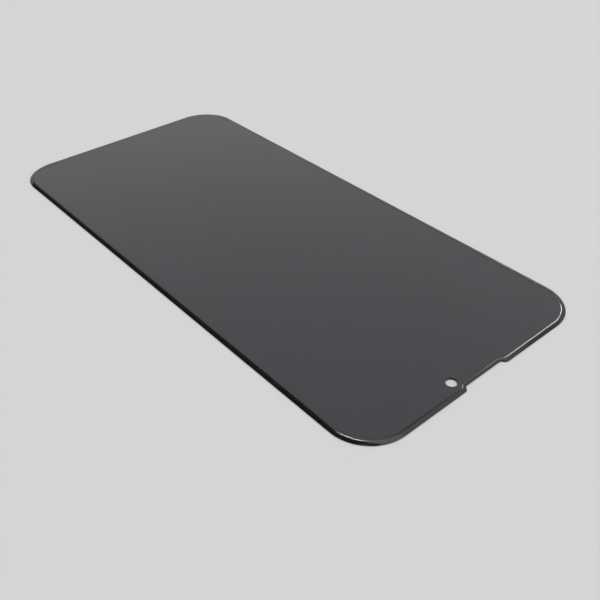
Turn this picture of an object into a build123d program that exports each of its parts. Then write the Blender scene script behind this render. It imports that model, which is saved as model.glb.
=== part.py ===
"""Tempered-glass screen protector: one thin sheet with a ground edge.

The sheet lies face up. X runs across it, +Y runs along it towards the notched end, and
the origin is the middle of the underside, the face that sticks down. Millimetres throughout.
"""

import os

from build123d import *

# Sheet
SHEET_WIDTH = 68.5
SHEET_LENGTH = 142.7
SHEET_THICKNESS = 0.4
CORNER_RADIUS = 10.0

# Ground edge, from the underside up: a small arris, a short upright wall, a crowned bevel
ARRIS = 0.05
WALL_TOP = 0.14
BEVEL_WIDTH = 0.95
BEVEL_CROWN = 0.025

# Shallow notch in the +Y end, with sloping shoulders and a narrower bevel than the outer edge
NOTCH_MOUTH = 12.8
NOTCH_SHOULDER = 0.8
NOTCH_DEPTH = 1.05
NOTCH_BEVEL = 0.62
NOTCH_MOUTH_RADIUS = 0.8
NOTCH_ROOT_RADIUS = 0.8

# Round sight hole beside the notch, with its upper rim bevelled
HOLE_DIAMETER = 2.35
HOLE_FROM_MIDDLE = 7.1
HOLE_FROM_END = 3.5
HOLE_BEVEL = 0.12
HOLE_BEVEL_ANGLE = 90

end_y = SHEET_LENGTH / 2
bevel_middle = (WALL_TOP + SHEET_THICKNESS) / 2 + BEVEL_CROWN

# Each step of the ground edge is an inset from the outline and a height above the underside
lower_steps = [(ARRIS, 0), (0, ARRIS), (0, WALL_TOP)]
bevel_steps = [(0, WALL_TOP), (BEVEL_WIDTH / 2, bevel_middle), (BEVEL_WIDTH, SHEET_THICKNESS)]


def outline(inset, height):
    """The outline of the sheet with its notch, moved in by inset, on the plane at that height."""
    notch_inset = inset * NOTCH_BEVEL / BEVEL_WIDTH
    mouth_y = end_y - inset
    root_y = end_y - NOTCH_DEPTH - notch_inset
    half_mouth = (NOTCH_MOUTH + notch_inset) / 2
    half_root = half_mouth - NOTCH_SHOULDER
    with BuildSketch(Plane.XY.offset(height)) as section:
        RectangleRounded(SHEET_WIDTH - 2 * inset, SHEET_LENGTH - 2 * inset, CORNER_RADIUS - inset)
        with BuildLine():
            Polyline(
                (-half_mouth, mouth_y),
                (-half_root, root_y),
                (half_root, root_y),
                (half_mouth, mouth_y),
                close=True,
            )
        make_face(mode=Mode.SUBTRACT)
        # The root corners are the two vertices nearest the notch's middle, the mouth corners the next two
        fillet(section.vertices().sort_by_distance((0, root_y))[2:4], NOTCH_MOUTH_RADIUS)
        fillet(section.vertices().sort_by_distance((0, root_y))[:2], NOTCH_ROOT_RADIUS + notch_inset)
    return section.sketch


with BuildPart() as glass_sheet:
    loft([outline(*step) for step in lower_steps], ruled=True)
    loft([outline(*step) for step in bevel_steps])
    with Locations((HOLE_FROM_MIDDLE, end_y - HOLE_FROM_END, SHEET_THICKNESS)):
        CounterSinkHole(
            radius=HOLE_DIAMETER / 2,
            counter_sink_radius=HOLE_DIAMETER / 2 + HOLE_BEVEL,
            depth=SHEET_THICKNESS,
            counter_sink_angle=HOLE_BEVEL_ANGLE,
        )

glass_sheet.part.label = "glass_sheet"
os.makedirs("parts", exist_ok=True)
export_step(glass_sheet.part, "parts/glass_sheet.step")
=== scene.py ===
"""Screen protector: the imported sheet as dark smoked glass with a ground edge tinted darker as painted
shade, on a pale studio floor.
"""

import math

import bmesh
import bpy
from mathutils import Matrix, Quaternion, Vector


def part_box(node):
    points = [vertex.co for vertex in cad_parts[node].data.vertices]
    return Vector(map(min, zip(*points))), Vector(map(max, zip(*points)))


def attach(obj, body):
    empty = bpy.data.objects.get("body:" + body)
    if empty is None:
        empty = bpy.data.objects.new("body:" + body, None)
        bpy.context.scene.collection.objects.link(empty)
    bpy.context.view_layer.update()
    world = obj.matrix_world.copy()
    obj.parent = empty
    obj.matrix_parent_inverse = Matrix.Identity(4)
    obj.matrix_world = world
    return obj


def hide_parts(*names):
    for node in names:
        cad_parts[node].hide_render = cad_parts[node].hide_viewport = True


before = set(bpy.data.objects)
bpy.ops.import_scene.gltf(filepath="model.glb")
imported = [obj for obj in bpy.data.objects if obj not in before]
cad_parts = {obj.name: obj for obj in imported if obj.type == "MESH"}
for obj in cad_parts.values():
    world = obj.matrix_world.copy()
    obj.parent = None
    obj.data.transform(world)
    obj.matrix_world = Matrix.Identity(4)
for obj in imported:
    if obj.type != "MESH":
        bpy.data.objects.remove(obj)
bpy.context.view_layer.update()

MM = 0.001

# Sheet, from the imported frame
SHEET_LOW, SHEET_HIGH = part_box("glass_sheet")
HALF_WIDTH = SHEET_HIGH.x
HALF_LENGTH = SHEET_HIGH.y
THICKNESS = SHEET_HIGH.z - SHEET_LOW.z
CORNER_RADIUS = 10.0 * MM

# Ground edge, from the underside up: a small arris, a short upright wall, a crowned bevel
ARRIS = 0.05 * MM
WALL_TOP = 0.14 * MM
BEVEL_WIDTH = 0.95 * MM
BEVEL_CROWN = 0.025 * MM
CREASE_ROUNDING = 0.12 * MM

# Shallow notch in the +Y end
NOTCH_MOUTH = 12.8 * MM
NOTCH_SHOULDER = 0.8 * MM
NOTCH_DEPTH = 1.05 * MM
NOTCH_BEVEL = 0.62 * MM
NOTCH_MOUTH_RADIUS = 0.8 * MM
NOTCH_ROOT_RADIUS = 0.8 * MM

# Round sight hole beside the notch
HOLE_RADIUS = 1.175 * MM
HOLE_FROM_MIDDLE = 7.1 * MM
HOLE_FROM_END = 3.5 * MM
HOLE_BEVEL = 0.12 * MM

# Fineness of the mesh
CORNER_STEPS = 48
NOTCH_STEPS = 12
BEVEL_STEPS = 10
CREASE_STEPS = 8
HOLE_STEPS = 96
CRISP_RINGS = 3  # rings of the ground edge, from the underside up, that keep a crisp line

# Slots of the sheet's mesh
FACE_SLOT = 0
EDGE_SLOT = 1

# Glass: the tints and roughness range from low to high noise, whose scale is in features per metre
GLASS_IOR = 1.5
FACE_TINTS = ((0.223, 0.231, 0.252, 1.0), (0.231, 0.239, 0.260, 1.0))
FACE_ROUGHNESS = (0.02, 0.05)
FACE_NOISE_SCALE = 45.0
FACE_NOISE_DETAIL = 3.0
# The edge tints are far darker than the face's. This is painted shade for the dark band along the sheet's
# edges, laid over the green cast of a glass edge.
EDGE_TINTS_WITH_PAINTED_SHADE = ((0.034, 0.042, 0.036, 1.0), (0.042, 0.050, 0.044, 1.0))
EDGE_ROUGHNESS = (0.07, 0.14)
EDGE_NOISE_SCALE = 9000.0
EDGE_NOISE_DETAIL = 4.0
TOOTH_STRENGTH = 0.15
TOOTH_HEIGHT = 0.002 * MM
NOISE_LOW = 0.3
NOISE_HIGH = 0.7

# Camera: the photograph's viewing point
CAMERA_EYE = Vector((102.57, 132.39, 107.45)) * MM
CAMERA_AIM = Vector((11.85, 27.29, 0.0)) * MM
CAMERA_ROLL = math.radians(-0.33)
CAMERA_LENS = 46.19
CAMERA_SENSOR = 36.0
CAMERA_CLIP_START = 0.005
CAMERA_CLIP_END = 50.0

# Floor
FLOOR_RADIUS = 6.0
FLOOR_SEGMENTS = 128
FLOOR_GAP = 0.01 * MM
FLOOR_FADE_START = 0.25
FLOOR_FADE_END = 1.8
FLOOR_COLOUR = (0.64, 0.64, 0.64, 1.0)
FLOOR_ROUGHNESS = 0.9
FLOOR_SPECULAR = 0.1

# Studio: a pale surround up to a dim ceiling, and a dark rectangle that the sheet's near edges mirror.
# Places on the ceiling are (x, y) in ceiling heights.
SURROUND_COLOUR = (0.75, 0.755, 0.765, 1.0)
CEILING_COLOUR = (0.08, 0.08, 0.083, 1.0)
SURROUND_TOP = math.radians(38.0)
SURROUND_SOFTNESS = 0.1
DARK_HIGH_CORNER = Vector((0.45, 0.4))
DARK_SOFTNESS = 0.004
LOWEST_RISE = 0.05  # keeps the division by the rise finite near the horizon
CEILING_HEIGHT = 10.0

# Soft lamps in the ceiling: name, low corner, high corner, radiance
LAMPS = [
    ("key_lamp", (-0.05, -0.05), (0.68, 0.68), 2.8),
    ("left_bevel_lamp", (-0.92, -0.20), (-0.60, 0.55), 1.15),
    ("corner_bevel_lamp", (-0.60, -0.42), (-0.22, 0.30), 1.8),
    ("right_bevel_lamp", (-1.40, -0.20), (-0.92, 0.55), 0.55),
    ("right_crease_lamp", (-1.20, -0.535), (-0.90, -0.235), 11.5),
    ("right_corner_lamp", (-1.52, -0.545), (-1.20, -0.42), 22.0),
    ("corner_crease_lamp", (-0.51, -0.545), (-0.38, -0.415), 50.0),
]
FACE_RADIANCE = 0.70


def rounded_corner(before, corner, after, radius, steps):
    """Points of the arc that rounds a corner, from the side of before to that of after."""
    towards_before = (before - corner).normalized()
    towards_after = (after - corner).normalized()
    half_angle = towards_before.angle(towards_after) / 2
    centre = corner + (towards_before + towards_after).normalized() * (radius / math.sin(half_angle))
    start = corner + towards_before * (radius / math.tan(half_angle)) - centre
    turn = math.pi - 2 * half_angle
    if towards_before.cross(towards_after) > 0:
        turn = -turn
    across = Vector((-start.y, start.x))
    points = []
    for step in range(steps + 1):
        angle = turn * step / steps
        points.append(centre + start * math.cos(angle) + across * math.sin(angle))
    return points


def outline(inset):
    """The sheet's closed outline with its notch, moved in by inset, counter-clockwise."""
    notch_inset = inset * NOTCH_BEVEL / BEVEL_WIDTH
    side = HALF_WIDTH - inset
    end = HALF_LENGTH - inset
    root = HALF_LENGTH - NOTCH_DEPTH - notch_inset
    half_mouth = (NOTCH_MOUTH + notch_inset) / 2
    half_root = half_mouth - NOTCH_SHOULDER
    sheet_corner = (CORNER_RADIUS - inset, CORNER_STEPS)
    mouth_corner = (NOTCH_MOUTH_RADIUS, NOTCH_STEPS)
    root_corner = (NOTCH_ROOT_RADIUS + notch_inset, NOTCH_STEPS)
    corners = [
        (Vector((side, -end)), sheet_corner),
        (Vector((side, end)), sheet_corner),
        (Vector((half_mouth, end)), mouth_corner),
        (Vector((half_root, root)), root_corner),
        (Vector((-half_root, root)), root_corner),
        (Vector((-half_mouth, end)), mouth_corner),
        (Vector((-side, end)), sheet_corner),
        (Vector((-side, -end)), sheet_corner),
    ]
    points = []
    for index, (corner, rounding) in enumerate(corners):
        before = corners[index - 1][0]
        after = corners[(index + 1) % len(corners)][0]
        points.extend(rounded_corner(before, corner, after, *rounding))
    return points


def bevel_point(share):
    """Inset and height of a point on the crowned bevel, from its foot at 0 to the crease at 1."""
    rise = (THICKNESS - WALL_TOP) * share + 4 * BEVEL_CROWN * share * (1 - share)
    return Vector((BEVEL_WIDTH * share, WALL_TOP + rise))


def edge_steps():
    """Inset and height of each ring of the ground edge, from the underside up to the face."""
    steps = [Vector((ARRIS, 0.0)), Vector((0.0, ARRIS)), Vector((0.0, WALL_TOP))]
    bevel_share = 1 - CREASE_ROUNDING / BEVEL_WIDTH
    steps.extend(bevel_point(bevel_share * step / BEVEL_STEPS) for step in range(1, BEVEL_STEPS + 1))
    start = steps[-1]
    crease = Vector((BEVEL_WIDTH, THICKNESS))
    finish = crease + Vector((CREASE_ROUNDING, 0.0))
    for step in range(1, CREASE_STEPS + 1):
        share = step / CREASE_STEPS
        steps.append(start * (1 - share) ** 2 + crease * 2 * share * (1 - share) + finish * share ** 2)
    return steps


def hole_circle(radius):
    """Points round the sight hole, counter-clockwise."""
    centre = Vector((HOLE_FROM_MIDDLE, HALF_LENGTH - HOLE_FROM_END))
    turns = [2 * math.pi * step / HOLE_STEPS for step in range(HOLE_STEPS)]
    return [centre + Vector((math.cos(turn), math.sin(turn))) * radius for turn in turns]


def add_ring(mesh, points, height):
    """A closed ring of vertices at that height."""
    return [mesh.verts.new((point.x, point.y, height)) for point in points]


def join_rings(mesh, lower, upper, sharp):
    """A band of quads between two rings, with a crisp line along the lower one if sharp."""
    count = len(lower)
    for index in range(count):
        after = (index + 1) % count
        band = mesh.faces.new((lower[index], lower[after], upper[after], upper[index]))
        band.smooth = True
        band.material_index = EDGE_SLOT
        if sharp:
            mesh.edges.get((lower[index], lower[after])).smooth = False


def ring_edges(mesh, ring):
    """The edges that run along a ring."""
    return [mesh.edges.get((vertex, ring[index - 1])) for index, vertex in enumerate(ring)]


def fill_face(mesh, outer, inner, upwards):
    """A flat face between the outline and the hole, with a crisp border."""
    border = ring_edges(mesh, outer) + ring_edges(mesh, inner)
    for edge in border:
        edge.smooth = False
    normal = (0, 0, 1 if upwards else -1)
    filled = bmesh.ops.triangle_fill(mesh, edges=border, use_beauty=True, normal=normal)
    for item in filled["geom"]:
        if isinstance(item, bmesh.types.BMFace):
            item.material_index = FACE_SLOT
            item.smooth = True


def build_sheet():
    """The glass sheet as one closed mesh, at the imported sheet's own size and place."""
    mesh = bmesh.new()
    rings = [add_ring(mesh, outline(inset), SHEET_LOW.z + height) for inset, height in edge_steps()]
    for index in range(len(rings) - 1):
        join_rings(mesh, rings[index], rings[index + 1], sharp=index < CRISP_RINGS)
    hole_steps = [
        (HOLE_RADIUS + HOLE_BEVEL, THICKNESS),
        (HOLE_RADIUS, THICKNESS - HOLE_BEVEL),
        (HOLE_RADIUS, 0.0),
    ]
    hole = [add_ring(mesh, hole_circle(radius), SHEET_LOW.z + height) for radius, height in hole_steps]
    for index in range(len(hole) - 1):
        join_rings(mesh, hole[index], hole[index + 1], sharp=True)
    fill_face(mesh, rings[-1], hole[0], upwards=True)
    fill_face(mesh, rings[0], hole[-1], upwards=False)
    bmesh.ops.recalc_face_normals(mesh, faces=mesh.faces)
    data = bpy.data.meshes.new("smoked_glass_sheet")
    mesh.to_mesh(data)
    mesh.free()
    sheet = bpy.data.objects.new("smoked_glass_sheet", data)
    bpy.context.collection.objects.link(sheet)
    return sheet


def new_material(name):
    """A new node material, as (material, nodes, links, its Principled shader)."""
    material = bpy.data.materials.new(name)
    material.use_nodes = True
    nodes = material.node_tree.nodes
    return material, nodes, material.node_tree.links, nodes["Principled BSDF"]


def noise(nodes, links, scale, detail):
    """Noise in the object's own coordinates."""
    place = nodes.new("ShaderNodeTexCoord")
    texture = nodes.new("ShaderNodeTexNoise")
    texture.inputs["Scale"].default_value = scale
    texture.inputs["Detail"].default_value = detail
    links.new(place.outputs["Object"], texture.inputs["Vector"])
    return texture.outputs["Fac"]


def spread(nodes, links, value, low, high):
    """Maps noise to the range from low to high."""
    ranged = nodes.new("ShaderNodeMapRange")
    ranged.inputs["From Min"].default_value = NOISE_LOW
    ranged.inputs["From Max"].default_value = NOISE_HIGH
    ranged.inputs["To Min"].default_value = low
    ranged.inputs["To Max"].default_value = high
    links.new(value, ranged.inputs["Value"])
    return ranged.outputs["Result"]


def tint(nodes, links, value, first, second):
    """Mixes two colours by a value."""
    mix = nodes.new("ShaderNodeMix")
    mix.data_type = "RGBA"
    mix.inputs["A"].default_value = first
    mix.inputs["B"].default_value = second
    links.new(value, mix.inputs["Factor"])
    return mix.outputs["Result"]


def glass(name, variation, tints, roughness):
    """Glass whose tint and roughness vary with noise, as (material, nodes, links, shader, noise)."""
    material, nodes, links, shader = new_material(name)
    shader.inputs["Transmission Weight"].default_value = 1.0
    shader.inputs["IOR"].default_value = GLASS_IOR
    cloud = noise(nodes, links, *variation)
    links.new(spread(nodes, links, cloud, *roughness), shader.inputs["Roughness"])
    links.new(tint(nodes, links, cloud, *tints), shader.inputs["Base Color"])
    return material, nodes, links, shader, cloud


def polished_glass():
    """Dark smoked glass, polished, with the faint unevenness of a coated face."""
    variation = (FACE_NOISE_SCALE, FACE_NOISE_DETAIL)
    return glass("polished_smoked_glass", variation, FACE_TINTS, FACE_ROUGHNESS)[0]


def ground_and_painted_shade_glass():
    """The ground edge: greener glass, tinted much darker than the face as painted shade along the edges,
    with the fine tooth that grinding leaves.
    """
    variation = (EDGE_NOISE_SCALE, EDGE_NOISE_DETAIL)
    finish = glass("ground_glass_edge_and_painted_shade", variation, EDGE_TINTS_WITH_PAINTED_SHADE, EDGE_ROUGHNESS)
    material, nodes, links, shader, tooth = finish
    bump = nodes.new("ShaderNodeBump")
    bump.inputs["Strength"].default_value = TOOTH_STRENGTH
    bump.inputs["Distance"].default_value = TOOTH_HEIGHT
    links.new(tooth, bump.inputs["Height"])
    links.new(bump.outputs["Normal"], shader.inputs["Normal"])
    return material


def smooth_step(nodes, links, value, zero_at, one_at):
    """Goes smoothly from 0 at one value to 1 at another, and stays level beyond them."""
    ranged = nodes.new("ShaderNodeMapRange")
    ranged.interpolation_type = "SMOOTHSTEP"
    ranged.inputs["From Min"].default_value = zero_at
    ranged.inputs["From Max"].default_value = one_at
    links.new(value, ranged.inputs["Value"])
    return ranged.outputs["Result"]


def feed(links, source, socket):
    """Links a socket to another one, or sets it to a constant."""
    if isinstance(source, bpy.types.NodeSocket):
        links.new(source, socket)
    else:
        socket.default_value = source


def vector_math(nodes, links, operation, *operands):
    """A vector operation on sockets or constants, as its node."""
    node = nodes.new("ShaderNodeVectorMath")
    node.operation = operation
    for operand, socket in zip(operands, node.inputs):
        feed(links, operand, socket)
    return node


def maximum(nodes, links, first, second):
    """The larger of a socket and a second socket or a constant."""
    node = nodes.new("ShaderNodeMath")
    node.operation = "MAXIMUM"
    feed(links, first, node.inputs[0])
    feed(links, second, node.inputs[1])
    return node.outputs["Value"]


def build_floor():
    """A large pale floor just under the sheet, which fades into the surround far from it."""
    mesh = bmesh.new()
    bmesh.ops.create_circle(mesh, cap_ends=True, radius=FLOOR_RADIUS, segments=FLOOR_SEGMENTS)
    data = bpy.data.meshes.new("floor")
    mesh.to_mesh(data)
    mesh.free()
    floor = bpy.data.objects.new("floor", data)
    floor.location.z = SHEET_LOW.z - FLOOR_GAP
    bpy.context.collection.objects.link(floor)
    material, nodes, links, shader = new_material("floor")
    shader.inputs["Base Color"].default_value = FLOOR_COLOUR
    shader.inputs["Roughness"].default_value = FLOOR_ROUGHNESS
    shader.inputs["Specular IOR Level"].default_value = FLOOR_SPECULAR
    place = nodes.new("ShaderNodeTexCoord").outputs["Object"]
    distance = vector_math(nodes, links, "LENGTH", place).outputs["Value"]
    glow = nodes.new("ShaderNodeEmission")
    glow.inputs["Color"].default_value = SURROUND_COLOUR
    fade = nodes.new("ShaderNodeMixShader")
    far_off = smooth_step(nodes, links, distance, FLOOR_FADE_START, FLOOR_FADE_END)
    links.new(far_off, fade.inputs["Fac"])
    links.new(shader.outputs["BSDF"], fade.inputs[1])
    links.new(glow.outputs["Emission"], fade.inputs[2])
    links.new(fade.outputs["Shader"], nodes["Material Output"].inputs["Surface"])
    data.materials.append(material)


def mirrored_on_ceiling(x, y):
    """The place on the ceiling, in ceiling heights, that the sheet at x, y mirrors to the camera."""
    spot = Vector((x, y))
    return spot / CEILING_HEIGHT + (spot - CAMERA_EYE.xy) / CAMERA_EYE.z


def build_sky():
    """A pale surround, with a dim ceiling above it that reaches lower in a dark rectangle."""
    world = bpy.data.worlds.new("studio")
    world.use_nodes = True
    nodes, links = world.node_tree.nodes, world.node_tree.links
    heading = nodes.new("ShaderNodeTexCoord").outputs["Generated"]
    split = nodes.new("ShaderNodeSeparateXYZ")
    links.new(heading, split.inputs["Vector"])
    rise = split.outputs["Z"]
    top = math.sin(SURROUND_TOP)
    above = smooth_step(nodes, links, rise, top, top + SURROUND_SOFTNESS)

    low = mirrored_on_ceiling(-HALF_WIDTH, -HALF_LENGTH).to_3d()
    high = DARK_HIGH_CORNER.to_3d()
    safe_rise = maximum(nodes, links, rise, LOWEST_RISE)
    on_ceiling = vector_math(nodes, links, "DIVIDE", heading, safe_rise).outputs["Vector"]
    from_middle = vector_math(nodes, links, "SUBTRACT", on_ceiling, (low + high) / 2).outputs["Vector"]
    distance = vector_math(nodes, links, "ABSOLUTE", from_middle).outputs["Vector"]
    outside = vector_math(nodes, links, "SUBTRACT", distance, (high - low) / 2).outputs["Vector"]
    sides = nodes.new("ShaderNodeSeparateXYZ")
    links.new(outside, sides.inputs["Vector"])
    furthest = maximum(nodes, links, sides.outputs["X"], sides.outputs["Y"])
    within = smooth_step(nodes, links, furthest, DARK_SOFTNESS, 0.0)

    dim = maximum(nodes, links, above, within)
    colour = tint(nodes, links, dim, SURROUND_COLOUR, CEILING_COLOUR)
    links.new(colour, nodes["Background"].inputs["Color"])
    bpy.context.scene.world = world


def add_lamp(name, low, high, radiance):
    """A soft lamp that fills the ceiling from low to high, in ceiling heights, and faces down."""
    low, high = Vector(low) * CEILING_HEIGHT, Vector(high) * CEILING_HEIGHT
    light = bpy.data.lights.new(name, "AREA")
    light.shape = "RECTANGLE"
    light.size, light.size_y = high - low
    light.energy = radiance * math.pi * light.size * light.size_y
    lamp = bpy.data.objects.new(name, light)
    middle = (low + high) / 2
    lamp.location = (middle.x, middle.y, CEILING_HEIGHT)
    bpy.context.collection.objects.link(lamp)


def add_face_lamp():
    """The lamp that the face mirrors to the camera, just filling it."""
    low = mirrored_on_ceiling(-HALF_WIDTH, -HALF_LENGTH)
    high = mirrored_on_ceiling(HALF_WIDTH, HALF_LENGTH)
    add_lamp("face_lamp", low, high, FACE_RADIANCE)


def build_camera():
    """The camera at the photograph's viewing point."""
    data = bpy.data.cameras.new("camera")
    data.lens = CAMERA_LENS
    data.sensor_width = CAMERA_SENSOR
    data.clip_start = CAMERA_CLIP_START
    data.clip_end = CAMERA_CLIP_END
    camera = bpy.data.objects.new("camera", data)
    camera.location = CAMERA_EYE
    camera.rotation_mode = "QUATERNION"
    aim = (CAMERA_AIM - CAMERA_EYE).to_track_quat("-Z", "Y")
    camera.rotation_quaternion = aim @ Quaternion((0.0, 0.0, 1.0), CAMERA_ROLL)
    bpy.context.collection.objects.link(camera)
    bpy.context.scene.camera = camera


sheet = build_sheet()
sheet.data.materials.append(polished_glass())
sheet.data.materials.append(ground_and_painted_shade_glass())
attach(sheet, "root")
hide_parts("glass_sheet")

build_floor()
build_sky()
add_face_lamp()
for lamp in LAMPS:
    add_lamp(*lamp)
build_camera()
bpy.context.scene.view_settings.view_transform = "Standard"
